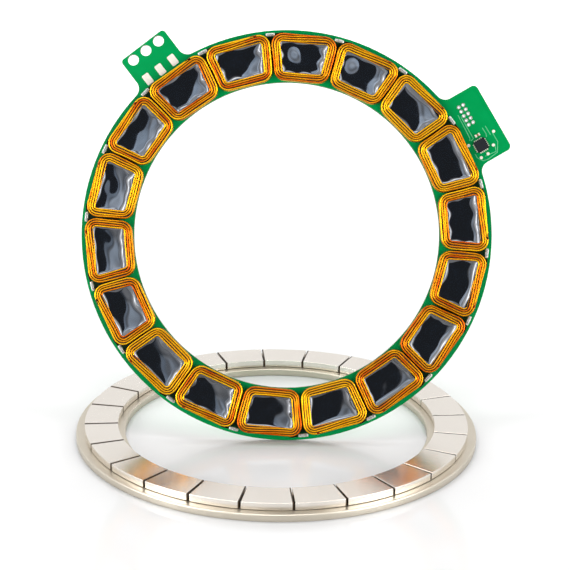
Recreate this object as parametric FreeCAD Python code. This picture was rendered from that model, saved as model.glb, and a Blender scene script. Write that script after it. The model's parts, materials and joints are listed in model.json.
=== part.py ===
import FreeCAD, Part
import math
import os

from FreeCAD import Placement, Rotation, Vector

# Axial flux motor kit: a coil stator on a circuit board ring, and a magnet rotor ring.
# Millimetres. The rotor lies flat on z = 0 with its axis on Z. The stator stands on its
# edge inside the rotor's hole, leaning back, with its coils towards -Y.

# Stator: ring of coils, from the bore outwards
board_bore_r = 38.85
board_t = 1.6
coil_count = 18
coil_phase_deg = 5.5
coil_bore_margin = 0.1
coil_rim_margin = 1.3
coil_band_w = 2.2
coil_window_l = 7.55
coil_window_corner_r = 0.45
coil_gap = 0.35
coil_h = 2.6
coil_edge_r = 0.55
fill_below_coil_top = 0.6
fill_dish_h = 0.25
fill_dish_run = 1.6

# Solder joints and coil leads at the outer gaps
joint_l = 2.3
joint_w = 0.85
joint_h = 0.7
joint_clear = 0.15
joint_edge_r = 0.25
lead_r = 0.16
lead_clear = 0.03
lead_bite = 0.45

# Tabs
tab_length = 8.6
tab_root_fillet_r = 2.6
phase_tab_deg = 128.1
phase_tab_corner_r = 1.0
phase_count = 3
phase_pitch = 4.0
phase_hole_r = 1.4
phase_hole_web = 0.3
phase_side_web = 1.4
phase_pad_w = 1.9
phase_pad_l = 2.9
phase_pad_corner_r = 0.35
phase_pad_coil_clear = 0.65
sensor_tab_deg = 30.7
sensor_tab_corner_r = 1.3
land_t = 0.08

# Sensor electronics, set out from the tab's middle line and the coils' outer edge
chip_size = 3.0
chip_h = 0.85
chip_offset = 4.9
chip_coil_clear = 1.85
chip_side_margin = 3.0
contact_count = 5
contact_pitch = 0.48
contact_w = 0.26
contact_reach = 0.3
contact_under = 0.35
contact_t = 0.06
capacitor_l = 1.0
capacitor_w = 0.5
capacitor_h = 0.5
capacitor_end_l = 0.25
capacitor_land = 0.2
capacitor_chip_gap = 0.9
header_count = 5
header_rows = 2
header_pitch = 1.27
header_offset = 3.75
header_setback = 3.9
eyelet_hole_r = 0.28
eyelet_wall = 0.1
eyelet_flange = 0.1
test_pad_r = 0.4
test_pad_gap = 0.55
test_pad_edge = 2.0

# Rotor: ring of magnets
magnet_count = 24
magnet_phase_deg = 12.6
magnet_inset = 1.55
magnet_l = 8.5
magnet_t = 1.85
magnet_gap = 0.3
magnet_corner_r = 0.5
magnet_edge = 0.2
bond_t = 0.1
bond_setback = 0.15
iron_t = 1.8
iron_outer_lip = 2.2
iron_inner_lip = 1.8
iron_edge_r = 0.4

# Display pose of the stator
stator_lean_deg = 19.567
stator_foot_x = 2.0
stator_foot_y = -4.45

# Radii that follow from the values above
coil_inner_x = board_bore_r + coil_bore_margin
coil_outer_x = coil_inner_x + 2 * coil_band_w + coil_window_l
board_r = coil_outer_x + coil_rim_margin
tab_edge_x = board_r + tab_length
coil_half_pitch = math.pi / coil_count
magnet_inner_r = coil_inner_x + magnet_inset
magnet_outer_r = magnet_inner_r + magnet_l
iron_outer_r = magnet_outer_r + iron_outer_lip
iron_inner_r = magnet_inner_r - iron_inner_lip

z_axis = Vector(0, 0, 1)
origin = Vector(0, 0, 0)
tiny = 1e-4


def rounded_wire(points, radius, z):
    # closed outline through convex corner points, each corner rounded
    pts = [Vector(x, y, z) for x, y in points]
    starts = []
    ends = []
    mids = []
    for i, corner in enumerate(pts):
        before = (pts[i - 1] - corner).normalize()
        after = (pts[(i + 1) % len(pts)] - corner).normalize()
        half = before.getAngle(after) / 2
        run = radius / math.tan(half)
        bisector = (before + after).normalize()
        centre = corner + bisector * (radius / math.sin(half))
        starts.append(corner + before * run)
        ends.append(corner + after * run)
        mids.append(centre - bisector * radius)
    edges = []
    for i in range(len(pts)):
        edges.append(Part.Arc(starts[i], mids[i], ends[i]).toShape())
        edges.append(Part.makeLine(ends[i], starts[(i + 1) % len(pts)]))
    return Part.Wire(edges)


def coil_outline(inset):
    # trapezoid between two chords and two lines beside the gaps, moved in by inset
    side = (coil_gap / 2 + inset) / math.cos(coil_half_pitch)
    inner = coil_inner_x + inset
    outer = coil_outer_x - inset
    inner_half = inner * math.tan(coil_half_pitch) - side
    outer_half = outer * math.tan(coil_half_pitch) - side
    return [(inner, -inner_half), (outer, -outer_half), (outer, outer_half), (inner, inner_half)]


def spun(shape, count, phase_deg):
    # copies of a shape about Z, the first at phase_deg
    copies = []
    for i in range(count):
        copy = shape.copy()
        copy.rotate(origin, z_axis, phase_deg + i * 360.0 / count)
        copies.append(copy)
    return copies


def on_tab(shape, tab_deg, radial, tangential, z):
    placed = shape.copy()
    placed.translate(Vector(radial, tangential, z))
    placed.rotate(origin, z_axis, tab_deg)
    return placed


def centred_box(length, width, height):
    return Part.makeBox(length, width, height, Vector(-length / 2, -width / 2, 0))


def upright_edges(shape, points):
    # vertical edges standing on the given plan points
    found = []
    for edge in shape.Edges:
        middle = edge.CenterOfMass
        upright = max(edge.BoundBox.XLength, edge.BoundBox.YLength) < tiny
        near = any(math.hypot(middle.x - p.x, middle.y - p.y) < tiny for p in points)
        if upright and near:
            found.append(edge)
    return found


def edges_at(shape, z):
    # edges that lie wholly at one height, above everything else
    return [e for e in shape.Edges if e.BoundBox.ZMin > z - tiny]


def tab_points(tab_deg, width, x):
    turn = Rotation(z_axis, tab_deg)
    return [turn.multVec(Vector(x, side * width / 2, 0)) for side in (-1, 1)]


phase_rows = [(i - (phase_count - 1) / 2) * phase_pitch for i in range(phase_count)]
phase_tab_w = (phase_count - 1) * phase_pitch + 2 * (phase_hole_r + phase_side_web)
phase_hole_x = tab_edge_x - phase_hole_web - phase_hole_r
phase_pad_x = coil_outer_x + phase_pad_coil_clear + phase_pad_l / 2
sensor_tab_w = 2 * (chip_offset + chip_size / 2 + chip_side_margin)
chip_x = coil_outer_x + chip_coil_clear + chip_size / 2
header_x = coil_outer_x + header_setback
header_places = []
for row in range(header_rows):
    for i in range(header_count):
        radial = header_x + (row - (header_rows - 1) / 2) * header_pitch
        tangential = header_offset + (i - (header_count - 1) / 2) * header_pitch
        header_places.append((radial, tangential))
eyelet_r = eyelet_hole_r + eyelet_wall


def make_board():
    board = Part.makeCylinder(board_r, board_t)
    for tab_deg, width in ((phase_tab_deg, phase_tab_w), (sensor_tab_deg, sensor_tab_w)):
        tab = Part.makeBox(tab_edge_x, width, board_t, Vector(0, -width / 2, 0))
        tab.rotate(origin, z_axis, tab_deg)
        board = board.fuse(tab)
    board = board.removeSplitter()
    roots = []
    for tab_deg, width in ((phase_tab_deg, phase_tab_w), (sensor_tab_deg, sensor_tab_w)):
        root_x = math.sqrt(board_r ** 2 - (width / 2) ** 2)
        roots += tab_points(tab_deg, width, root_x)
    board = board.makeFillet(tab_root_fillet_r, upright_edges(board, roots))
    corners = tab_points(phase_tab_deg, phase_tab_w, tab_edge_x)
    board = board.makeFillet(phase_tab_corner_r, upright_edges(board, corners))
    corners = tab_points(sensor_tab_deg, sensor_tab_w, tab_edge_x)
    board = board.makeFillet(sensor_tab_corner_r, upright_edges(board, corners))
    cuts = [Part.makeCylinder(board_bore_r, board_t)]
    phase_hole = Part.makeCylinder(phase_hole_r, board_t)
    for row in phase_rows:
        cuts.append(on_tab(phase_hole, phase_tab_deg, phase_hole_x, row, 0))
    header_hole = Part.makeCylinder(eyelet_r, board_t)
    for radial, tangential in header_places:
        cuts.append(on_tab(header_hole, sensor_tab_deg, radial, tangential, 0))
    return board.cut(cuts).removeSplitter()


def make_coil():
    outer = rounded_wire(coil_outline(0), coil_window_corner_r + coil_band_w, board_t)
    window = rounded_wire(coil_outline(coil_band_w), coil_window_corner_r, board_t)
    coil = Part.Face(outer).extrude(z_axis * coil_h)
    coil = coil.cut(Part.Face(window).extrude(z_axis * coil_h))
    return coil.makeFillet(coil_edge_r, edges_at(coil, board_t + coil_h))


def make_fill():
    # epoxy up to just under the rounded rim of the window, dished in the middle
    edge_h = coil_h - fill_below_coil_top
    window = rounded_wire(coil_outline(coil_band_w), coil_window_corner_r, board_t)
    body = Part.Face(window).extrude(z_axis * edge_h)
    brim = rounded_wire(coil_outline(coil_band_w), coil_window_corner_r, board_t + edge_h)
    dish = rounded_wire(coil_outline(coil_band_w + fill_dish_run), coil_window_corner_r,
                        board_t + edge_h - fill_dish_h)
    return body.cut(Part.makeLoft([brim, dish], True, True)).removeSplitter()


def polar(centre, radius, angle):
    return centre + Vector(math.cos(angle), math.sin(angle), 0) * radius


def make_joint_and_lead():
    # seen with the gap along X: the joint straddles it just outside the two rounded coil
    # corners, and the lead comes off the -Y coil, round its corner and into the joint
    rounding = coil_window_corner_r + coil_band_w
    to_gap = coil_gap / 2 + rounding
    corner_x = coil_outer_x - rounding
    corner_y = (corner_x * math.sin(coil_half_pitch) - to_gap) / math.cos(coil_half_pitch)
    along_gap = corner_x * math.cos(coil_half_pitch) + corner_y * math.sin(coil_half_pitch)
    room = to_gap - joint_l / 2 - joint_clear
    joint_x = along_gap + math.sqrt(rounding ** 2 - room ** 2) + joint_w / 2
    joint = centred_box(joint_w, joint_l, joint_h)
    joint = joint.makeFillet(joint_edge_r, edges_at(joint, joint_h))
    joint.translate(Vector(joint_x, 0, board_t))

    middle_z = board_t + joint_h / 2
    corner = Vector(along_gap, -to_gap, middle_z)
    end = Vector(joint_x, lead_bite - joint_l / 2, middle_z)
    wrap_r = rounding + lead_r + lead_clear
    reach = end - corner
    first = -coil_half_pitch
    last = math.atan2(reach.y, reach.x) - math.acos(wrap_r / reach.Length)
    turns = [polar(corner, wrap_r, angle) for angle in (first, (first + last) / 2, last)]
    path = Part.Wire([Part.Arc(turns[0], turns[1], turns[2]).toShape(), Part.makeLine(turns[2], end)])
    along_coil = Vector(-math.sin(first), math.cos(first), 0)
    section = Part.Wire([Part.makeCircle(lead_r, turns[0], along_coil)])
    lead = path.makePipeShell([section], True, False)
    return joint.cut(lead), lead


def make_magnet():
    half_pitch = math.pi / magnet_count
    corners = []
    for radius in (magnet_inner_r, magnet_outer_r):
        half = half_pitch - math.asin(magnet_gap / 2 / radius)
        corners.append([Vector(radius * math.cos(a), radius * math.sin(a), 0) for a in (-half, 0, half)])
    inner, outer = corners
    edges = [
        Part.Arc(inner[0], inner[1], inner[2]).toShape(),
        Part.makeLine(inner[2], outer[2]),
        Part.Arc(outer[2], outer[1], outer[0]).toShape(),
        Part.makeLine(outer[0], inner[0]),
    ]
    face = Part.Face(Part.Wire(edges))
    magnet = face.extrude(z_axis * magnet_t)
    magnet = magnet.makeFillet(magnet_corner_r, upright_edges(magnet, inner[::2] + outer[::2]))
    magnet = magnet.makeChamfer(magnet_edge, edges_at(magnet, magnet_t))
    magnet.translate(z_axis * (iron_t + bond_t))
    return magnet


def ring(inner_r, outer_r, height, z):
    return Part.makeCylinder(outer_r, height, z_axis * z).cut(Part.makeCylinder(inner_r, height, z_axis * z))


def make_back_iron():
    iron = ring(iron_inner_r, iron_outer_r, iron_t, 0)
    return iron.makeFillet(iron_edge_r, edges_at(iron, iron_t))


def make_phase_pad():
    half_l = phase_pad_l / 2
    half_w = phase_pad_w / 2
    corners = [(-half_l, -half_w), (half_l, -half_w), (half_l, half_w), (-half_l, half_w)]
    return Part.Face(rounded_wire(corners, phase_pad_corner_r, 0)).extrude(z_axis * land_t)


def make_eyelet():
    # plated hole: barrel through the board, flange on the coil side, flush at the back
    flange = Part.makeCylinder(eyelet_r + eyelet_flange, land_t, z_axis * board_t)
    barrel = Part.makeCylinder(eyelet_r, board_t)
    hole = Part.makeCylinder(eyelet_hole_r, board_t + land_t)
    return barrel.fuse(flange).cut(hole).removeSplitter()


def make_contacts():
    contact = Part.makeBox(contact_under + contact_reach, contact_w, contact_t,
                           Vector(chip_size / 2 - contact_under, -contact_w / 2, 0))
    contacts = []
    for i in range(contact_count):
        row = contact.copy()
        row.translate(Vector(0, (i - (contact_count - 1) / 2) * contact_pitch, 0))
        contacts += spun(row, 4, 0)
    return contacts


def make_capacitor_end():
    end = centred_box(capacitor_end_l, capacitor_w, capacitor_h)
    land = centred_box(capacitor_end_l + capacitor_land, capacitor_w + capacitor_land, land_t)
    land.translate(Vector(capacitor_land / 2, 0, 0))
    end = end.fuse(land).removeSplitter()
    end.translate(Vector((capacitor_l - capacitor_end_l) / 2, 0, 0))
    return end


stator = {"stator_board": [make_board()]}
for i, coil in enumerate(spun(make_coil(), coil_count, coil_phase_deg)):
    stator["coil_%02d" % (i + 1)] = [coil]
stator["coil_fill"] = spun(make_fill(), coil_count, coil_phase_deg)
joint, lead = make_joint_and_lead()
gap_phase_deg = coil_phase_deg + math.degrees(coil_half_pitch)
stator["coil_joints"] = spun(joint, coil_count, gap_phase_deg)
stator["coil_leads"] = spun(lead, coil_count, gap_phase_deg)

phase_pad = make_phase_pad()
stator["phase_pads"] = [on_tab(phase_pad, phase_tab_deg, phase_pad_x, y, board_t) for y in phase_rows]
eyelet = make_eyelet()
stator["header_eyelets"] = [on_tab(eyelet, sensor_tab_deg, x, y, 0) for x, y in header_places]

chip = centred_box(chip_size, chip_size, chip_h)
stator["sensor_chip"] = [on_tab(chip, sensor_tab_deg, chip_x, -chip_offset, board_t + contact_t)]
stator["chip_contacts"] = [on_tab(c, sensor_tab_deg, chip_x, -chip_offset, board_t) for c in make_contacts()]

capacitor_x = chip_x + capacitor_l / 2
capacitor_y = -chip_offset + chip_size / 2 + contact_reach + capacitor_chip_gap
core = centred_box(capacitor_l - 2 * capacitor_end_l, capacitor_w, capacitor_h)
stator["capacitor"] = [on_tab(core, sensor_tab_deg, capacitor_x, capacitor_y, board_t)]
ends = spun(make_capacitor_end(), 2, 0)
stator["capacitor_ends"] = [on_tab(e, sensor_tab_deg, capacitor_x, capacitor_y, board_t) for e in ends]

# test pads: two beyond the chip, one on each side of it and one by the tab's outer edge
pad_out = chip_size / 2 + contact_reach + test_pad_gap + test_pad_r
test_places = [
    (chip_x + contact_pitch, -chip_offset - pad_out),
    (chip_x - chip_size / 2, -chip_offset - pad_out),
    (chip_x + pad_out, -chip_offset - chip_size / 2),
    (chip_x - pad_out, -chip_offset + chip_size / 2),
    (tab_edge_x - test_pad_edge, -chip_offset + chip_size / 2),
]
test_pad = Part.makeCylinder(test_pad_r, land_t)
stator["test_pads"] = [on_tab(test_pad, sensor_tab_deg, x, y, board_t) for x, y in test_places]

rotor = {"back_iron": [make_back_iron()]}
rotor["magnet_bond"] = [ring(magnet_inner_r + bond_setback, magnet_outer_r - bond_setback, bond_t, iron_t)]
for i, magnet in enumerate(spun(make_magnet(), magnet_count, magnet_phase_deg)):
    rotor["magnet_%02d" % (i + 1)] = [magnet]

# the stator's back edge rests on z = 0 and its front tips up by the lean
lean = math.radians(stator_lean_deg)
centre = Vector(stator_foot_x, stator_foot_y + board_r * math.sin(lean), board_r * math.cos(lean))
stator_place = Placement(centre, Rotation(Vector(1, 0, 0), 90 - stator_lean_deg))

os.makedirs("parts", exist_ok=True)
for solids in stator.values():
    for solid in solids:
        solid.Placement = stator_place.multiply(solid.Placement)
for name, solids in {**stator, **rotor}.items():
    shape = solids[0] if len(solids) == 1 else Part.makeCompound(solids)
    shape.exportStep("parts/%s.step" % name)
print("board radius", round(board_r, 3), "back iron radius", round(iron_outer_r, 3))
print("nodes", len(stator) + len(rotor), "phase holes at", round(phase_hole_x, 3))
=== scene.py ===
import bmesh
import bpy
import json
import math
import random
from mathutils import Matrix, Vector

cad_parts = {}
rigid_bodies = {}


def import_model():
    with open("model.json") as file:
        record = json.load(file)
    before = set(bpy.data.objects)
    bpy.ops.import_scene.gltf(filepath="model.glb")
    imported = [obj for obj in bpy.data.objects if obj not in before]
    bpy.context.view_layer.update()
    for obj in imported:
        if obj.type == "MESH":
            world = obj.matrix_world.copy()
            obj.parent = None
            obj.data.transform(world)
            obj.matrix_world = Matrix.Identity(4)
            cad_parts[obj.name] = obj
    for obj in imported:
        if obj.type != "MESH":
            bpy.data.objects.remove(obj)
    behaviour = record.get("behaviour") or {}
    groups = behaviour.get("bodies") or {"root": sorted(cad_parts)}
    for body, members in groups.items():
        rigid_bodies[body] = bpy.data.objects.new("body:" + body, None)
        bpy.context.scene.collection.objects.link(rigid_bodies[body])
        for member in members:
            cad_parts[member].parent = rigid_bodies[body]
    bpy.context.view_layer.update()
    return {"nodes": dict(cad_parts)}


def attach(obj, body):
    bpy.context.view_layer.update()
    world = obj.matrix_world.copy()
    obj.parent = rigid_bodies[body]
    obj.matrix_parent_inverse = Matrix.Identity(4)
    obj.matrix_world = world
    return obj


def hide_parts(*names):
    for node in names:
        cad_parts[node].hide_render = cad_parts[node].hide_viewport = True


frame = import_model()
bpy.ops.object.select_all(action="DESELECT")
print("frame loaded with", len(frame["nodes"]), "nodes")

mm = 0.001
board = {"leanDeg": 19.567, "centre": (2.0, 13.0322, 49.1855), "thick": 1.6}  # mm, middle of the back face
boardTilt = math.radians(90 - board["leanDeg"])
boardPlace = Matrix.Translation(Vector(board["centre"]) * mm) @ Matrix.Rotation(boardTilt, 4, "X")


# helpers for shapes

def deselect():
    if bpy.context.object and bpy.context.object.mode != "OBJECT":
        bpy.ops.object.mode_set(mode="OBJECT")
    bpy.ops.object.select_all(action="DESELECT")


def pick(obj, test):  # in edit mode: select the vertices whose place passes the test
    mesh = bmesh.from_edit_mesh(obj.data)
    for vert in mesh.verts:
        vert.select = test(vert.co)
    mesh.select_flush_mode()
    bmesh.update_edit_mesh(obj.data)


def useModifier(kind, **settings):  # add one to the active object and apply it
    bpy.ops.object.modifier_add(type=kind)
    modifier = bpy.context.object.modifiers[-1]
    for name, value in settings.items():
        setattr(modifier, name, value)
    bpy.ops.object.modifier_apply(modifier=modifier.name)


def fixInPlace(obj, place):  # the place goes into the mesh, the object stays at the origin
    deselect()
    bpy.context.view_layer.objects.active = obj
    obj.select_set(True)
    obj.matrix_world = place
    bpy.ops.object.transform_apply(location=True, rotation=True, scale=True)


def newCurve(depth, resolution):  # an empty curve, drawn as round wire
    deselect()
    bpy.ops.curve.primitive_nurbs_path_add(location=(0, 0, 0))
    curve = bpy.context.object.data
    curve.splines.clear()
    curve.dimensions = "3D"
    curve.bevel_depth = depth * mm
    curve.bevel_resolution = resolution
    return curve


def addWire(curve, points, closed=False):
    spline = curve.splines.new("POLY")
    spline.points.add(len(points) - 1)
    for spot, point in zip(spline.points, points):
        spot.co = (*(point * mm), 1.0)
        spot.radius = 1.0
    spline.use_cyclic_u = closed


def copyOf(obj, name):
    copy = bpy.data.objects.new(name, obj.data.copy())
    bpy.context.scene.collection.objects.link(copy)
    return copy


def joinAll(objs, name):
    deselect()
    for obj in objs:
        obj.select_set(True)
    bpy.context.view_layer.objects.active = objs[0]
    bpy.ops.object.join()
    objs[0].name = name
    return objs[0]


def fitOut(obj, name, body, material, nodes=()):
    obj.name = name
    if material:  # a piece of two finishes has its own already
        obj.data.materials.clear()
        obj.data.materials.append(material)
    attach(obj, body)
    if nodes:
        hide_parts(*nodes)


def dress(nodes, material):
    for node in nodes:
        obj = frame["nodes"][node]
        obj.data.materials.clear()
        obj.data.materials.append(material)


# helpers for materials and lights

def toLinear(hexText):  # the standard screen curve
    parts = [int(hexText[i:i + 2], 16) / 255 for i in (1, 3, 5)]
    return [p / 12.92 if p <= 0.04045 else ((p + 0.055) / 1.055) ** 2.4 for p in parts] + [1.0]


def connect(tree, node, links):  # links: socket name or number -> value, or another node's output
    for name, value in links.items():
        if isinstance(value, bpy.types.NodeSocket):
            tree.links.new(value, node.inputs[name])
        else:
            node.inputs[name].default_value = value


def addNode(tree, kind, links=None, **settings):
    node = tree.nodes.new("ShaderNode" + kind)
    for name, value in settings.items():
        setattr(node, name, value)
    connect(tree, node, links or {})
    return node


def calc(tree, operation, *values, **settings):
    return addNode(tree, "Math", dict(enumerate(values)), operation=operation, **settings).outputs[0]


def remap(tree, value, low=0.0, high=1.0, toLow=0.0, toHigh=1.0, **settings):
    ends = {0: value, 1: low, 2: high, 3: toLow, 4: toHigh}
    return addNode(tree, "MapRange", ends, **settings).outputs[0]


def blend(tree, share, first, second):  # colours as hex text, or another node's output
    first, second = (toLinear(c) if isinstance(c, str) else c for c in (first, second))
    return addNode(tree, "Mix", {0: share, 6: first, 7: second}, data_type="RGBA").outputs[2]


def noise(tree, where, grain, detail):  # grain in mm
    inputs = {"Vector": where, "Scale": 1 / (grain * mm), "Detail": detail}
    return addNode(tree, "TexNoise", inputs).outputs[0]


def unevenness(tree, where, scale, least, most):  # how strongly a hand-hung diffuser glows here
    cloud = addNode(tree, "TexNoise", {"Vector": where, "Scale": scale, "Detail": 1.0}).outputs[0]
    return remap(tree, cloud, low=0.35, high=0.65, toLow=least, toHigh=most)


def bump(tree, height, strength, depth):  # depth in mm
    inputs = {"Height": height, "Strength": strength, "Distance": depth * mm}
    return addNode(tree, "Bump", inputs).outputs[0]


def objectSpace(tree):
    return addNode(tree, "TexCoord").outputs["Object"]


def boardSpace(tree):  # the board's own: x right, y up its face, z out of it
    turned = boardPlace.inverted()
    return addNode(tree, "Mapping", {"Vector": objectSpace(tree), "Location": turned.to_translation(),
                                     "Rotation": turned.to_euler()}).outputs[0]


def newMaterial(name):  # a bare tree with its shader wired to the output
    material = bpy.data.materials.new(name)
    material.use_nodes = True
    tree = material.node_tree
    tree.nodes.clear()
    shader = addNode(tree, "BsdfPrincipled")
    addNode(tree, "OutputMaterial", {"Surface": shader.outputs[0]})
    return material, tree, shader


# materials

def enamelledCopper():
    # magnet wire: copper under clear amber enamel, so yellow glints and an orange body; the red-brown
    # grooves between turns are painted shade
    material, tree, shader = newMaterial("enamelledCopper")
    strand = addNode(tree, "Attribute", attribute_name="strandTone").outputs["Fac"]  # each turn's own
    crest = addNode(tree, "Attribute", attribute_name="strandCrest").outputs["Fac"]  # 1 on a turn's crown
    cloud = noise(tree, boardSpace(tree), grain=3.0, detail=1.0)
    drift = remap(tree, cloud, low=0.3, high=0.7, toLow=-0.2, toHigh=0.2)
    shade = calc(tree, "ADD", strand, drift, use_clamp=True)
    packed = remap(tree, shade, low=0.25)  # how dark the painted shade between turns is, which follows each turn's tone
    rise = remap(tree, crest, low=0.62, high=0.95, interpolation_type="SMOOTHSTEP")  # 0 low on a turn's flank, where shade is painted
    crown = blend(tree, shade, "#E26200", "#FFC814")
    paintedGrooveShade = blend(tree, packed, "#2A0400", "#8E3000")
    connect(tree, shader, {"Base Color": blend(tree, rise, paintedGrooveShade, crown), "Metallic": 0.92,
                           "Roughness": remap(tree, rise, toLow=0.45, toHigh=0.24)})
    return material


def shadedInnerTurns():
    # the turns below, soaked in varnish: dull red-brown, painted darker as the shade they lie in
    material, tree, shader = newMaterial("varnishedInnerTurns")
    blotch = noise(tree, boardSpace(tree), grain=0.8, detail=2.0)
    connect(tree, shader, {"Base Color": blend(tree, blotch, "#1C0601", "#3A0F02"), "Roughness": 0.45})
    return material


def castEpoxy():
    # black casting resin: mirror smooth skin with long shallow waves, deep blue-black inside
    material, tree, shader = newMaterial("blackCastingEpoxy")
    where = boardSpace(tree)
    cloud = noise(tree, where, grain=3.0, detail=3.0)
    wave = noise(tree, where, grain=2.4, detail=0.5)
    haze = remap(tree, cloud, low=0.35, high=0.7, toLow=0.04, toHigh=0.1)
    connect(tree, shader, {"Base Color": blend(tree, cloud, "#030608", "#0A1219"), "Roughness": haze,
                           "IOR": 1.58, "Normal": bump(tree, wave, strength=0.3, depth=0.06)})
    connect(tree, shader, {"Coat Weight": 1.0, "Coat IOR": 1.9, "Coat Roughness": 0.03,
                           "Coat Tint": toLinear("#E4ECFF")})  # the skin that cures first
    return material


lacquer = {"coilGapShadeFrom": 41.0, "coilGapShadeFull": 43.5, "coilGapShadeFade": 50.4, "coilGapShadeEnd": 50.75, "coilGapShadeAbove": 1.5,
           "bareWithin": 0.77, "threadApart": 0.55}  # mm


def solderMask():
    # green lacquer over glass cloth: even satin gloss, the weave barely shows, bare laminate at cut edges
    material, tree, shader = newMaterial("greenSolderMask")
    where = boardSpace(tree)
    place = addNode(tree, "SeparateXYZ", {0: where}).outputs
    flat = addNode(tree, "CombineXYZ", {0: place[0], 1: place[1]}).outputs[0]
    out = addNode(tree, "VectorMath", {0: flat}, operation="LENGTH").outputs["Value"]
    inward = remap(tree, out, low=lacquer["coilGapShadeFrom"] * mm, high=lacquer["coilGapShadeFull"] * mm)
    outward = remap(tree, out, low=lacquer["coilGapShadeEnd"] * mm, high=lacquer["coilGapShadeFade"] * mm)
    front = calc(tree, "GREATER_THAN", place[2], lacquer["coilGapShadeAbove"] * mm)
    coilGapShade = calc(tree, "MULTIPLY", calc(tree, "MULTIPLY", inward, outward), front)
    green = blend(tree, noise(tree, where, grain=7, detail=3.0), "#008A44", "#00A257")
    coilGapShaded = blend(tree, coilGapShade, green, "#12301C")  # painted shade in the narrow gaps between and under the coils
    fromMid = calc(tree, "ABSOLUTE", calc(tree, "ADD", place[2], -board["thick"] / 2 * mm))
    atEdge = calc(tree, "LESS_THAN", fromMid, lacquer["bareWithin"] * mm)
    bare = blend(tree, noise(tree, where, grain=0.4, detail=2.0), "#8C8A80", "#B9B4A6")
    bandSpan = 3.14  # brings one band of the wave texture to about two threads
    threads = [addNode(tree, "TexWave", {"Vector": where, "Distortion": 0.6,
                                         "Scale": 0.5 / (lacquer["threadApart"] * mm) / bandSpan},
                       bands_direction=way).outputs[1] for way in ("X", "Y")]
    weave = calc(tree, "MULTIPLY", *threads)
    connect(tree, shader, {"Base Color": blend(tree, atEdge, coilGapShaded, bare), "IOR": 1.52,
                           "Roughness": remap(tree, atEdge, toLow=0.14, toHigh=0.75),
                           "Normal": bump(tree, weave, strength=0.08, depth=0.02),
                           "Specular IOR Level": 0.25})
    return material


def maskOverCopper():
    # the same lacquer over a copper track: paler and brighter, as the metal shines through
    material, tree, shader = newMaterial("greenMaskOverCopper")
    shine = noise(tree, boardSpace(tree), grain=1.5, detail=1.0)
    connect(tree, shader, {"Base Color": blend(tree, shine, "#3FB277", "#7CD2A2"), "Roughness": 0.2})
    return material


def tinned(name, dark, light, smooth, rough, grain, metal):
    # hot-dipped tin on copper lands, or a set solder joint: pale soft-edged metal with a frosted grain
    material, tree, shader = newMaterial(name)
    frost = noise(tree, boardSpace(tree), grain=grain, detail=3.0)
    connect(tree, shader, {"Base Color": blend(tree, frost, dark, light), "Metallic": metal,
                           "Roughness": remap(tree, frost, low=0.3, high=0.7, toLow=smooth, toHigh=rough),
                           "Normal": bump(tree, frost, strength=0.2, depth=0.03)})
    return material


def mouldedPackage():
    # black moulding compound: matt charcoal with a fine sandy grain
    material, tree, shader = newMaterial("blackMouldingCompound")
    sand = noise(tree, boardSpace(tree), grain=0.12, detail=2.0)
    connect(tree, shader, {"Base Color": blend(tree, sand, "#07090C", "#171B21"), "Roughness": 0.5,
                           "Normal": bump(tree, sand, strength=0.3, depth=0.02), "Specular IOR Level": 0.3})
    return material


def firedCeramic():
    # fired ceramic body: dull tan with a chalky speckle
    material, tree, shader = newMaterial("firedCeramic")
    speck = noise(tree, boardSpace(tree), grain=0.15, detail=2.0)
    connect(tree, shader, {"Base Color": blend(tree, speck, "#6B4A2E", "#A67C52"), "Roughness": 0.55})
    return material


def nickelPlate(name, dark, light, smooth, rough, gapShadeAndGlue=None):
    # satin nickel plating: warm pale metal, blurred reflections, cloudy handling marks, grinding lines
    material, tree, shader = newMaterial(name)
    where = objectSpace(tree)
    cloud = noise(tree, where, grain=8, detail=2.0)
    along = addNode(tree, "Mapping", {"Vector": where, "Scale": (1.0, 0.08, 1.0), "Rotation": (0, 0, 0.5)})
    ground = noise(tree, along.outputs[0], grain=1.2, detail=1.0)
    marks = calc(tree, "MULTIPLY", cloud, ground)
    plate = blend(tree, cloud, dark, light)
    connect(tree, shader, {"Base Color": gapShadeAndGlue(tree, where, plate) if gapShadeAndGlue else plate, "Metallic": 1.0,
                           "Roughness": remap(tree, marks, low=0.12, high=0.38, toLow=smooth, toHigh=rough)})
    return material


def curedGlue():
    # dark cured adhesive line: dull, slightly lumpy
    material, tree, shader = newMaterial("curedAdhesive")
    lump = noise(tree, objectSpace(tree), grain=0.8, detail=2.0)
    connect(tree, shader, {"Base Color": blend(tree, lump, "#140E09", "#281D13"), "Roughness": 0.7})
    return material


copperWire = enamelledCopper()
underWire = shadedInnerTurns()
epoxy = castEpoxy()
mask = solderMask()
trackMask = maskOverCopper()
solder = tinned("setSolder", "#BEC0BC", "#EAEAE6", smooth=0.18, rough=0.36, grain=0.5, metal=0.55)
land = tinned("tinnedLand", "#F6EEDE", "#FFFAF0", smooth=0.3, rough=0.5, grain=0.3, metal=0.15)
package = mouldedPackage()
ceramic = firedCeramic()
ironPlate = nickelPlate("nickelPlatedSteel", "#CCC3B2", "#D8D0C2", smooth=0.33, rough=0.4)
glue = curedGlue()
print("materials made")


# the wound coils: a spiral of wire across the top, a stack round the outside, over a solid core

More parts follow.
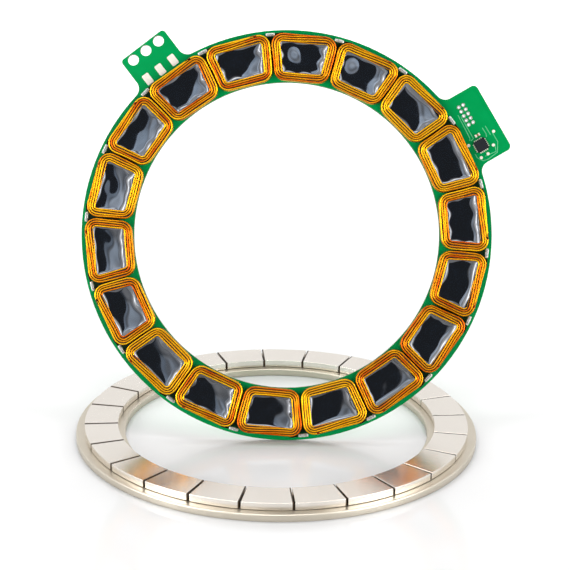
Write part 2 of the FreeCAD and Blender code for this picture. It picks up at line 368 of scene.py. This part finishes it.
coil = {"count": 18, "phaseDeg": 5.5, "innerX": 38.95, "outerX": 50.9, "gap": 0.35, "band": 2.2,
        "cornerR": 2.85, "baseZ": 1.6, "topZ": 4.2, "edgeR": 0.55, "wireR": 0.235, "wireRound": 2,
        "turns": 4, "wave": 0.13, "lift": 0.08, "sunk": 0.04,  # the spiral on top, and how it wavers
        "swaysPerLap": (2, 3, 5), "swayShare": (0.4, 1.0),
        "sideTurns": 4, "sideWave": 0.03, "sideProud": 0.01,
        "wallLevels": (1, 2), "wallTop": 0.3, "wallStep": 0.4, "wallTuck": 0.02,
        "straightSteps": 6, "cornerSteps": 5, "coreCuts": 6, "variants": 6, "seed": 41}  # mm
strandTones = (0.1, 0.4, 0.7, 0.9, 1.0)  # red-brown to yellow
halfPitch = math.pi / coil["count"]


def coilTurn(i):  # how far round the ring coil i sits
    return math.radians(coil["phaseDeg"] + i * 360 / coil["count"])


def coilCorners():  # arc centre and the wall directions it turns between, anticlockwise from outside
    reach = (coil["gap"] / 2 + coil["cornerR"]) / math.cos(halfPitch)
    farX = coil["outerX"] - coil["cornerR"]
    nearX = coil["innerX"] + coil["cornerR"]
    farY = farX * math.tan(halfPitch) - reach
    nearY = nearX * math.tan(halfPitch) - reach
    tilt = math.degrees(halfPitch)
    return [(farX, farY, 0, 90 + tilt), (nearX, nearY, 90 + tilt, 180),
            (nearX, -nearY, 180, 270 - tilt), (farX, -farY, 270 - tilt, 360)]


corners = coilCorners()
lapParts = 8  # 0, 2, 4, 6: straight sides; 1, 3, 5, 7: corners


def lapPoint(part, t, inset):
    def onArc(corner, f):
        x, y, first, last = corners[corner]
        angle = math.radians(first + (last - first) * f)
        radius = coil["cornerR"] - inset
        return Vector((x + radius * math.cos(angle), y + radius * math.sin(angle), 0))
    if part % 2:
        return onArc(part // 2, t)
    start = onArc((part // 2 - 1) % 4, 1)
    return start.lerp(onArc(part // 2, 0), t)


lapSteps = []  # the part of the lap, and how far along it
for part in range(lapParts):
    steps = coil["cornerSteps"] if part % 2 else coil["straightSteps"]
    lapSteps += [(part, i / steps) for i in range(steps)]


def crestDrop(inset):  # the rounded shoulder of the winding
    near = min(inset, coil["band"] - inset)
    short = coil["edgeR"] - near
    return 0.0 if short <= 0 else coil["edgeR"] - math.sqrt(coil["edgeR"] ** 2 - short ** 2)


def ease(t):
    return t * t * (3 - 2 * t)


def sway(rng, size):  # a slow seeded waver along one turn
    waves = [(n, rng.uniform(0, 2 * math.pi), rng.uniform(*coil["swayShare"])) for n in coil["swaysPerLap"]]
    return lambda s: size * sum(a * math.sin(2 * math.pi * n * s + p) for n, p, a in waves) / 2


def makeCore():
    # the plan as a plane, its ends drawn to the trapezoid, corners rounded, window cut, then raised
    inset = coil["wireR"]
    near, far = coil["innerX"] + inset, coil["outerX"] - inset
    side = (coil["gap"] / 2 + inset) / math.cos(halfPitch)
    nearHalf, farHalf = (x * math.tan(halfPitch) - side for x in (near, far))
    middle = (near + far) / 2 * mm
    deselect()
    bpy.ops.mesh.primitive_plane_add(size=2 * mm, location=(middle, 0, coil["baseZ"] * mm))
    core = bpy.context.object
    core.scale = ((far - near) / 2, 1, 1)
    bpy.ops.object.transform_apply(location=True, rotation=True, scale=True)
    bpy.ops.object.mode_set(mode="EDIT")
    ends = ((lambda co: co.x > middle, farHalf, -1), (lambda co: co.x < middle, nearHalf, 1))
    for test, half, _ in ends:
        pick(core, test)
        bpy.ops.transform.resize(value=(1, half, 1))
    for test, _, sign in ends:
        pick(core, test)
        halfCorner = math.pi / 4 + sign * halfPitch / 2
        cut = (coil["cornerR"] - inset) / math.tan(halfCorner) * mm
        bpy.ops.mesh.bevel(offset=cut, segments=coil["coreCuts"], affect="VERTICES")
    bpy.ops.mesh.select_all(action="SELECT")
    bpy.ops.mesh.inset(thickness=(coil["band"] - 2 * inset) * mm)
    bpy.ops.mesh.delete(type="FACE")
    bpy.ops.mesh.select_all(action="SELECT")
    rise = (coil["topZ"] - coil["baseZ"] - 2 * coil["wireR"]) * mm
    bpy.ops.mesh.extrude_region_move(TRANSFORM_OT_translate={"value": (0, 0, rise)})
    bpy.ops.mesh.select_all(action="SELECT")
    bpy.ops.mesh.normals_make_consistent(inside=False)
    bpy.ops.object.mode_set(mode="OBJECT")
    core.data.materials.append(underWire)
    return core


def topTurns(rng):  # a flat spiral from the outside in
    pitch = (coil["band"] - 2 * coil["wireR"]) / (coil["turns"] - 1)
    points = []
    for lap in range(coil["turns"]):
        wave, lift = sway(rng, coil["wave"]), sway(rng, coil["lift"])
        for part, t in lapSteps:
            step = lap if part else max(0.0, lap - 1 + ease(t))  # crosses over on the outer side
            s = (part + t) / lapParts
            free = math.sin(math.pi * s)  # wavers most in the middle of a lap
            inset = coil["wireR"] + pitch * step + wave(s) * free
            point = lapPoint(part, t, inset)
            point.z = coil["topZ"] - coil["wireR"] - crestDrop(inset) - coil["sunk"] + lift(s) * free
            points.append(point)
    return points


def outerTurns(rng):  # a stack down the outside, and which way is out at each of its points
    highest = coil["topZ"] - coil["wireR"] - crestDrop(coil["wireR"])
    drop = (coil["topZ"] - coil["baseZ"] - 2 * coil["wireR"] - crestDrop(coil["wireR"])) / coil["sideTurns"]
    points, outs = [], []
    for lap in range(coil["sideTurns"]):
        wave = sway(rng, coil["sideWave"])
        for part, t in lapSteps:
            step = lap + (1 if part else ease(t))
            s = (part + t) / lapParts
            inset = coil["wireR"] - coil["sideProud"] + abs(wave(s)) * math.sin(math.pi * s)
            point = lapPoint(part, t, inset)
            point.z = highest - drop * step
            points.append(point)
            outs.append((lapPoint(part, t, 0) - lapPoint(part, t, 1)).normalized())
    return points, outs


def wallTurn(level):  # on the inside wall, down to the resin
    points = [lapPoint(part, t, coil["band"] - coil["wireR"] + coil["wallTuck"]) for part, t in lapSteps]
    for point in points:
        point.z = coil["topZ"] - coil["wallTop"] - coil["wallStep"] * level
    return points


def makeWinding(rng):
    curve = newCurve(coil["wireR"], coil["wireRound"])
    top = topTurns(rng)
    stack, outward = outerTurns(rng)
    addWire(curve, top)
    addWire(curve, stack)
    walls = []
    for level in coil["wallLevels"]:
        walls += wallTurn(level)
        addWire(curve, walls[-len(lapSteps):], closed=True)
    bpy.ops.object.convert(target="MESH")
    bpy.ops.object.shade_smooth()
    wound = bpy.context.object
    upward = Vector((0, 0, 1))
    outs = [upward] * len(top) + outward + [upward] * len(walls)
    markStrands(rng, wound.data, top + stack + walls, outs)
    wound.data.materials.append(copperWire)
    return wound


def markStrands(rng, mesh, centres, outs):  # what the wire's material reads: each turn's tone, and how near its crown a point sits, for the painted shade between turns
    around = len(mesh.vertices) // len(centres)
    laps = len(centres) // len(lapSteps)
    tones = [rng.choice(strandTones) for lap in range(laps)]
    toneList, crestList = [], []
    for i, vert in enumerate(mesh.vertices):
        lap, along = divmod(i // around, len(lapSteps))
        mix = min(1.0, along / coil["straightSteps"])  # the tone changes over as the turn crosses
        toneList.append(tones[lap - 1] * (1 - mix) + tones[lap] * mix if lap else tones[0])
        crestList.append((vert.co / mm - centres[i // around]).dot(outs[i // around]) / coil["wireR"])
    for name, values in (("strandTone", toneList), ("strandCrest", crestList)):
        mesh.attributes.new(name, "FLOAT", "POINT").data.foreach_set("value", values)


rng = random.Random(coil["seed"])
core = makeCore()
windings = []
for i in range(coil["variants"]):
    windings.append(joinAll([makeWinding(rng), copyOf(core, "coilCore")], "windingPattern"))
order = [i % coil["variants"] for i in range(coil["count"])]
rng.shuffle(order)
for i in range(coil["count"]):
    wound = copyOf(windings[order[i]], "woundCoil")
    fixInPlace(wound, boardPlace @ Matrix.Rotation(coilTurn(i), 4, "Z"))
    fitOut(wound, "woundCoil%02d" % (i + 1), "stator", None, ["coil_%02d" % (i + 1)])
for spare in windings + [core]:
    bpy.data.objects.remove(spare)
print("coils wound")


# resin cast in each coil's window: a shallow dish that climbs the wire all round, most in the corners

resin = {"inset": 2.12, "midZ": 3.1, "dish": 0.5, "belowTop": 0.22, "across": 44, "along": 48,
         "smoothDeg": 60, "curve": 1.5, "fillWide": 0.62, "rightWide": 0.95, "endThin": 0.2,
         "leastWide": 0.05, "edgeWavy": 1.1, "rightCalm": 0.5, "edgeWaves": (2, 8), "wallsApart": 2,
         "swell": 0.075, "swells": (1.8, 4.2), "waveCount": 4, "phases": 6.28, "seed": 7}  # mm
leans = {2: 0.06, 3: 0.045, 5: -0.03, 6: -0.055, 7: -0.025, 8: 0.012, 12: 0.02, 13: 0.015, 14: 0.03,
         15: 0.04}  # mm risen per mm to the right, where a pour set sloping
lumps = {3: {"place": (-0.5, 2.6), "spread": (2.6, 2.4), "high": 0.5, "slantDeg": 10},
         4: {"place": (-0.6, 0.8), "spread": (2.6, 3.2), "high": 0.45, "slantDeg": 24},
         5: {"place": (-0.8, -0.2), "spread": (1.0, 1.3), "high": 0.14, "slantDeg": 25}}  # mm, right and up


def climb(away, wide):  # how far the skin has risen this close to the wire
    short, curve = max(0.0, wide - away), resin["curve"] * wide
    return curve - math.sqrt(curve ** 2 - short ** 2)


def edgeRise(w, other, size, right, edgeWaves):  # at one pair of walls; right: how far they face sideways
    wavy = sum(math.sin(n * other + p + math.copysign(resin["wallsApart"], w)) for n, p in edgeWaves)
    wavy /= len(edgeWaves)
    facing = math.copysign(right, w * right)  # 1 on the window's right side, -1 on its left
    wide = resin["fillWide"] - resin["endThin"] * (1 - right * right)  # thin skins above and below
    wide += resin["rightWide"] * max(0.0, facing)
    wide *= 1 + (resin["edgeWavy"] - resin["rightCalm"] * facing) * wavy
    return climb((1 - abs(w)) * size, max(resin["leastWide"], wide))


def makeGrid():  # a fine grid on top, one face below
    deselect()
    bpy.ops.mesh.primitive_grid_add(x_subdivisions=resin["across"], y_subdivisions=resin["along"], size=2)
    grid = bpy.context.object
    bpy.ops.object.mode_set(mode="EDIT")
    bpy.ops.mesh.select_all(action="SELECT")
    bpy.ops.mesh.extrude_region_move(TRANSFORM_OT_translate={"value": (0, 0, 1)})
    pick(grid, lambda co: co.z < 0.5)
    bpy.ops.mesh.dissolve_faces()
    bpy.ops.mesh.select_all(action="SELECT")
    bpy.ops.mesh.normals_make_consistent(inside=False)
    bpy.ops.object.mode_set(mode="OBJECT")
    return grid


def makeFill(rng, turn, lean, lump):
    near, far = coil["innerX"] + resin["inset"], coil["outerX"] - resin["inset"]
    depth = (far - near) / 2
    side = (coil["gap"] / 2 + resin["inset"]) / math.cos(halfPitch)
    fill = makeGrid()
    waves = [[rng.uniform(*span) for span in (resin["swells"], (0, resin["phases"])) * 2]
             for n in range(resin["waveCount"])]
    edgeWaves = [(rng.uniform(*resin["edgeWaves"]), rng.uniform(0, resin["phases"]))
                 for n in range(resin["waveCount"])]
    for vert in fill.data.vertices:
        u, v = (math.sin(max(-1.0, min(1.0, w)) * math.pi / 2) for w in vert.co.xy)  # closer near the edges
        x = (near + far) / 2 + u * depth
        half = x * math.tan(halfPitch) - side
        z = coil["baseZ"]
        if vert.co.z > 0.5:  # the skin
            flat = (1 - u * u) * (1 - v * v)
            swell = sum(math.sin(a * u + b) * math.sin(c * v + d) for a, b, c, d in waves) / 2
            rise = math.hypot(edgeRise(u, v, depth, math.cos(turn), edgeWaves),
                              edgeRise(v, u, half, -math.sin(turn), edgeWaves))
            z = resin["midZ"] + resin["dish"] * (u * u + v * v) / 2 + rise + resin["swell"] * swell * flat
            spot = Matrix.Rotation(turn, 2) @ Vector((u * depth, v * half))  # right and up in the ring
            z += lean * spot.x
            if lump:
                slant = Matrix.Rotation(-math.radians(lump["slantDeg"]), 2)
                aside, up = slant @ (spot - Vector(lump["place"]))
                wide, tall = lump["spread"]
                z += lump["high"] * math.exp(-((aside / wide) ** 2 + (up / tall) ** 2) / 2) * flat
        vert.co = Vector((x, v * half, min(z, coil["topZ"] - resin["belowTop"]))) * mm
    bpy.ops.object.shade_smooth_by_angle(angle=math.radians(resin["smoothDeg"]))
    return fill


rng = random.Random(resin["seed"])
fills = []
for i in range(coil["count"]):
    fill = makeFill(rng, coilTurn(i), leans.get(i, 0), lumps.get(i))
    fixInPlace(fill, boardPlace @ Matrix.Rotation(coilTurn(i), 4, "Z"))
    fills.append(fill)
fitOut(joinAll(fills, "resinFills"), "resinFills", "stator", epoxy, ["coil_fill"])
print("resin cast")


# solder joints across the outer gaps, where the wire ends run in

joint = {"radius": 51.09, "long": 2.3, "wide": 0.85, "high": 0.7, "stray": 0.05, "seed": 3}  # mm
blobShape = {"dome": (0.62, 0.86, 1), "over": (1.12, 1.1, 1.12), "seat": 0.47, "grow": (0.94, 1.04)}
rng = random.Random(joint["seed"])
blobs = []
for i in range(coil["count"]):
    deselect()
    bpy.ops.mesh.primitive_cube_add(size=2 * mm, location=(0, 0, 0))
    blob = bpy.context.object
    bpy.ops.object.mode_set(mode="EDIT")
    bpy.ops.mesh.subdivide(number_cuts=2)
    pick(blob, lambda co: co.z > 0.9 * mm)  # its top
    bpy.ops.transform.resize(value=blobShape["dome"])
    bpy.ops.object.mode_set(mode="OBJECT")
    useModifier("SUBSURF", levels=2, render_levels=2)  # this shrinks it, so it starts over size
    bpy.ops.object.shade_smooth()
    grow = rng.uniform(*blobShape["grow"])
    overWide, overLong, overHigh = blobShape["over"]
    size = (joint["wide"] / 2 * overWide * grow, joint["long"] / 2 * overLong * grow,
            joint["high"] / 2 * overHigh)
    stray = rng.uniform(-joint["stray"], joint["stray"])
    seat = Vector((joint["radius"], stray, board["thick"] + joint["high"] * blobShape["seat"])) * mm
    turn = Matrix.Rotation(coilTurn(i + 0.5), 4, "Z")
    fixInPlace(blob, boardPlace @ turn @ (Matrix.Translation(seat) @ Matrix.Diagonal((*size, 1))))
    blobs.append(blob)
fitOut(joinAll(blobs, "solderJoints"), "solderJoints", "stator", solder, ["coil_joints"])
print("joints soldered")


# the rotor: ground magnet blocks on a plated steel ring

magnet = {"count": 24, "phaseDeg": 12.6, "innerR": 40.5, "outerR": 49.0, "baseZ": 1.9, "topZ": 3.75,
          "gap": 0.3, "edge": 0.13, "edgeCuts": 3, "steps": 12}  # mm
magnetGapShade = {"dark": 0.011, "narrow": 0.0155, "wide": 0.027}  # how far the painted shade in the magnet gaps reaches, as a share of the magnets' pitch
spun = {"weld": 0.001, "sharpDeg": 40, "weight": 80}  # mm


def addSection(innerR, outerR, lowZ, highZ):  # an upright rectangle beside the axis, left in edit mode
    deselect()
    bpy.ops.mesh.primitive_plane_add(size=2, rotation=(math.pi / 2, 0, 0),
                                     location=((innerR + outerR) / 2 * mm, 0, (lowZ + highZ) / 2 * mm))
    section = bpy.context.object
    section.scale = ((outerR - innerR) / 2 * mm, (highZ - lowZ) / 2 * mm, 1)
    bpy.ops.object.transform_apply(location=True, rotation=True, scale=True)
    bpy.ops.object.mode_set(mode="EDIT")
    return section


def spinSection(steps, angle):  # sweep it round the axis into a closed solid
    bpy.ops.mesh.select_all(action="SELECT")
    bpy.ops.mesh.spin(steps=steps, angle=angle, center=(0, 0, 0), axis=(0, 0, 1))
    bpy.ops.mesh.select_all(action="SELECT")
    bpy.ops.mesh.remove_doubles(threshold=spun["weld"] * mm)
    bpy.ops.mesh.normals_make_consistent(inside=False)
    bpy.ops.object.mode_set(mode="OBJECT")


def smoothFaces():
    bpy.ops.object.shade_smooth_by_angle(angle=math.radians(spun["sharpDeg"]))
    useModifier("WEIGHTED_NORMAL", weight=spun["weight"], keep_sharp=False)


def makeMagnet():
    midR = (magnet["innerR"] + magnet["outerR"]) / 2
    half = math.pi / magnet["count"] - math.asin(magnet["gap"] / 2 / midR)
    block = addSection(magnet["innerR"], magnet["outerR"], magnet["baseZ"], magnet["topZ"])
    bpy.ops.mesh.select_all(action="SELECT")
    bpy.ops.transform.rotate(value=half, orient_axis="Z", center_override=(0, 0, 0))
    spinSection(magnet["steps"], 2 * half)
    useModifier("BEVEL", width=magnet["edge"] * mm, segments=magnet["edgeCuts"], limit_method="ANGLE",
                angle_limit=math.radians(spun["sharpDeg"]))
    smoothFaces()
    return block


def shadeMagnetGaps(tree, where, plate):  # painted shade in the gap where two magnets meet, with some glue: a thin, uneven dark line
    pitch = 2 * math.pi / magnet["count"]
    firstJoint = math.radians(magnet["phaseDeg"]) / pitch + 0.5
    place = addNode(tree, "SeparateXYZ", {0: where}).outputs
    angle = calc(tree, "ARCTAN2", place[1], place[0])
    away = calc(tree, "PINGPONG", calc(tree, "MULTIPLY_ADD", angle, 1 / pitch, -firstJoint), 0.5)
    patch = noise(tree, where, grain=2.5, detail=1.0)
    reach = remap(tree, patch, low=0.3, high=0.7, toLow=magnetGapShade["narrow"], toHigh=magnetGapShade["wide"])
    # painted shade: the bevels darken towards each gap
    return blend(tree, remap(tree, away, low=magnetGapShade["dark"], high=reach), "#4A3D31", plate)


magnetPlate = nickelPlate("satinNickelOnMagnet", "#E8E1D8", "#F0EAE2", smooth=0.2, rough=0.27,
                          gapShadeAndGlue=shadeMagnetGaps)
pattern = makeMagnet()
for i in range(magnet["count"]):
    block = copyOf(pattern, "magnetBlock")
    fixInPlace(block, Matrix.Rotation(math.radians(magnet["phaseDeg"] + i * 360 / magnet["count"]), 4, "Z"))
    fitOut(block, "magnetBlock%02d" % (i + 1), "rotor", magnetPlate, ["magnet_%02d" % (i + 1)])
bpy.data.objects.remove(pattern)

steel = {"innerR": 38.7, "outerR": 51.2, "thick": 1.8, "topEdge": 0.4, "topCuts": 5, "footEdge": 0.08,
         "footCuts": 2, "steps": 180}  # mm
ring = addSection(steel["innerR"], steel["outerR"], 0, steel["thick"])
pick(ring, lambda co: co.z > steel["thick"] / 2 * mm)
bpy.ops.mesh.bevel(offset=steel["topEdge"] * mm, segments=steel["topCuts"], affect="VERTICES")
pick(ring, lambda co: co.z < 0.01 * mm)  # its foot
bpy.ops.mesh.bevel(offset=steel["footEdge"] * mm, segments=steel["footCuts"], affect="VERTICES")
bpy.ops.mesh.select_all(action="SELECT")
bpy.ops.mesh.delete(type="ONLY_FACE")
spinSection(steel["steps"], 2 * math.pi)
smoothFaces()
fitOut(ring, "steelRing", "rotor", ironPlate, ["back_iron"])
print("rotor made")


# copper tracks under the lacquer of the sensor tab

track = {"tabDeg": 30.7, "wide": 0.2, "proud": 0.035, "round": 1,
         "lines": (((52.99, 4.67), (52.68, -1.94), (52.36, -2.48)),
                   ((53.44, 3.97), (53.43, -2.39), (52.68, -2.67)),
                   ((56.75, -1.18), (56.84, -2.97), (56.5, -3.78)),
                   ((57.64, -1.13), (57.68, -3.75)),
                   ((58.39, -3.54), (58.4, -6.2), (57.0, -8.5), (54.08, -8.85), (52.76, -8.56),
                    (51.85, -7.24), (51.82, -6.06)),
                   ((57.5, -6.25), (56.8, -8.15), (53.82, -7.82)))}  # mm, out from the middle, along the tab
tabTurn = boardPlace @ Matrix.Rotation(math.radians(track["tabDeg"]), 4, "Z")
curve = newCurve(track["wide"] / 2, track["round"])
for line in track["lines"]:
    addWire(curve, [Vector((x, y, 0)) for x, y in line])
bpy.ops.object.convert(target="MESH")
tracks = bpy.context.object
squat = Matrix.Diagonal((1, 1, 2 * track["proud"] / track["wide"], 1))  # wide and barely proud of the board
fixInPlace(tracks, tabTurn @ Matrix.Translation((0, 0, board["thick"] * mm)) @ squat)
bpy.ops.object.shade_smooth()
fitOut(tracks, "maskedTracks", "stator", trackMask)
print("tracks laid")


# the nodes that keep their own shape

dress(["stator_board"], mask)
dress(["coil_leads"], copperWire)
dress(["phase_pads", "test_pads", "chip_contacts", "capacitor_ends"], land)
dress(["header_eyelets"], solder)
dress(["sensor_chip"], package)
dress(["capacitor"], ceramic)
dress(["magnet_bond"], glue)
print("board parts dressed")


# the table

table = {"size": 6.0, "grain": 40.0, "glow": 0.4, "glowFrom": 0.08, "glowFull": 0.4}  # metres


def floorPaint():
    # white lacquered table: near-white, faintly glossy, so what stands on it leaves a soft ghost
    material, tree, shader = newMaterial("whiteLacquerTable")
    where = objectSpace(tree)
    grain = addNode(tree, "TexNoise", {"Vector": where, "Scale": table["grain"]}).outputs[0]
    out = addNode(tree, "VectorMath", {0: where}, operation="LENGTH").outputs["Value"]
    glow = remap(tree, out, low=table["glowFrom"], high=table["glowFull"], toHigh=table["glow"])
    connect(tree, shader, {"Base Color": toLinear("#F8F8F8"), "IOR": 1.4,
                           "Roughness": remap(tree, grain, toLow=0.09, toHigh=0.13),
                           "Emission Color": (1, 1, 1, 1), "Emission Strength": glow})  # painted light: the table glows more the farther it lies from the middle, so it melts into the room
    return material


deselect()
bpy.ops.mesh.primitive_plane_add(size=table["size"], location=(0, 0, 0))
floor = bpy.context.object
floor.name = "tableTop"
floor.data.materials.append(floorPaint())


# the lights: place and size in metres, radiance

boxes = {"leftSoftbox": ((-0.86, -0.34, 0.36), (0.22, 0.7), 6.0),
         "rightSoftbox": ((0.88, -0.30, 0.36), (0.22, 0.7), 6.0),
         "leftStrip": ((-0.50, -0.78, 0.22), (0.50, 0.36), 4.5),
         "rightStrip": ((0.50, -0.84, 0.22), (0.80, 0.37), 3.8),
         "overheadStrip": ((0.0, -0.05, 1.0), (0.9, 0.06), 7.0),
         "backBox": ((0.0, 0.5, 1.15), (1.8, 0.8), 2.1),
         "lowBackStrip": ((0.0, 1.0, 0.56), (1.8, 0.36), 4.2),
         "leftGlint": ((-0.80, -0.52, 0.24), (0.18, 0.5), 12.5),
         "rightGlint": ((0.80, -0.52, 0.24), (0.18, 0.5), 15.0),
         "rotorFill": ((0.0, -1.1, 0.40), (1.6, 0.9), 0.5),
         "resinBox": ((-0.235, -0.834, 0.445), (0.36, 0.9), 1.0),
         "coilFill": ((0.0, -0.95, 0.40), (0.6, 0.5), 0.6)}
boxesOnlyOn = {"leftGlint": "woundCoil", "rightGlint": "woundCoil", "coilFill": "woundCoil",
               "rotorFill": ("magnetBlock", "steelRing"), "resinBox": "resinFills"}
tints = {"resinBox": (0.72, 0.88, 1.08)}  # a cool, uneven diffuser
aim = Vector((0, 0, 0.05))


def hangDiffuser(light, tint):  # patchy, and brighter towards its top
    light.color = tint
    light.use_nodes = True
    tree = light.node_tree
    spot = addNode(tree, "NewGeometry").outputs["Parametric"]
    height = addNode(tree, "SeparateXYZ", {0: spot}).outputs[1]
    fade = remap(tree, height, low=0.24, high=0.8, toLow=0.1, toHigh=2.0)
    glow = calc(tree, "MULTIPLY", unevenness(tree, spot, scale=3.5, least=0.4, most=1.7), fade)
    connect(tree, tree.nodes["Emission"], {"Strength": glow})


def lightOnly(box, names):
    lit = bpy.data.collections.new(box.name + "Lit")
    for obj in bpy.data.objects:
        if obj.name.startswith(names):
            lit.objects.link(obj)
    box.light_linking.receiver_collection = lit


for name, (place, size, radiance) in boxes.items():
    deselect()
    bpy.ops.object.light_add(type="AREA", location=place)
    box = bpy.context.object
    box.name = name
    box.rotation_euler = (aim - Vector(place)).to_track_quat("-Z", "Y").to_euler()
    box.data.shape = "RECTANGLE"
    box.data.size, box.data.size_y = size
    box.data.energy = radiance * math.pi * size[0] * size[1]
    if name in tints:
        hangDiffuser(box.data, tints[name])
    box.visible_camera = False
    box.visible_glossy = name in boxesOnlyOn  # other reflections look at the room below
    if name in boxesOnlyOn:
        lightOnly(box, boxesOnlyOn[name])


# the white room, as the eye, soft light and reflections see it

room = {"ambient": 0.1, "bright": 0.96, "dark": 0.07, "ceiling": 5.0, "faceOn": (0, -0.942, 0.335),
        "rampTop": 9,
        "sides": ((-1.0, 0.1), (-0.93, 0.6), (-0.87, 3.0), (-0.82, 8.0), (-0.76, 3.2), (-0.64, 1.0),
                  (-0.4, 0.6), (-0.2, 0.6), (-0.105, 0.6), (-0.08, 0.0), (0.45, 0.0), (0.49, 0.7),
                  (0.64, 1.4), (0.76, 3.2), (0.82, 8.0), (0.87, 3.0), (0.93, 0.6),
                  (1.0, 0.1))}  # how far sideways a reflection looks, radiance there
world = bpy.data.worlds.new("whiteRoom")
bpy.context.scene.world = world
world.use_nodes = True
tree = world.node_tree
tree.nodes.clear()
ray = addNode(tree, "LightPath").outputs
look = addNode(tree, "TexCoord").outputs["Generated"]
axes = addNode(tree, "SeparateXYZ", {0: look}).outputs
fore = addNode(tree, "VectorMath", {0: look, 1: room["faceOn"]}, operation="DOT_PRODUCT").outputs["Value"]
sheen = remap(tree, fore, low=0.72, high=0.93, toLow=room["bright"], toHigh=room["dark"])  # dark behind us
ramp = addNode(tree, "ValToRGB", {0: remap(tree, axes[0], low=-1.0)})
stops = ramp.color_ramp.elements
for number, (aside, radiance) in enumerate(room["sides"]):
    stop = stops[number] if number < 2 else stops.new(1.0)
    stop.position = (aside + 1) / 2
    level = radiance / room["rampTop"]
    stop.color = (level, level, level, 1)
patchy = unevenness(tree, look, scale=6.0, least=5.0, most=13.0)
near = remap(tree, fore, low=0.05, high=0.35, toHigh=patchy)
above = remap(tree, axes[2], low=0.9, high=0.96, toHigh=room["ceiling"])
ceiling = calc(tree, "MULTIPLY", above, remap(tree, axes[1], low=-0.02, high=-0.1))  # only in front
sides = calc(tree, "MULTIPLY_ADD", ramp.outputs[0], near, ceiling)
direct = calc(tree, "LESS_THAN", ray["Diffuse Depth"], 0.5)  # not off the table first
mirrored = calc(tree, "MULTIPLY", ray["Is Glossy Ray"], direct)
glossy = calc(tree, "MULTIPLY", mirrored, calc(tree, "ADD", sheen, sides))
soft = calc(tree, "MULTIPLY_ADD", ray["Is Diffuse Ray"], room["ambient"], glossy)
total = calc(tree, "ADD", ray["Is Camera Ray"], soft)
backdrop = addNode(tree, "Background", {"Color": (1, 1, 1, 1), "Strength": total})
addNode(tree, "OutputWorld", {0: backdrop.outputs[0]})


# the camera, where the photographer stood

view = {"place": (1.740, -453.414, 201.485), "downDeg": 19.567, "rollDeg": 0.759, "lens": 121.34,
        "sensor": 36, "nearest": 10}  # mm
deselect()
bpy.ops.object.camera_add()
camera = bpy.context.object
camera.matrix_world = (Matrix.Translation(Vector(view["place"]) * mm)
                       @ Matrix.Rotation(math.radians(90 - view["downDeg"]), 4, "X")
                       @ Matrix.Rotation(math.radians(view["rollDeg"]), 4, "Z"))
camera.data.lens = view["lens"]
camera.data.sensor_width = view["sensor"]
camera.data.clip_start = view["nearest"] * mm
bpy.context.scene.camera = camera
bpy.context.scene.view_settings.view_transform = "Standard"
print("studio set")
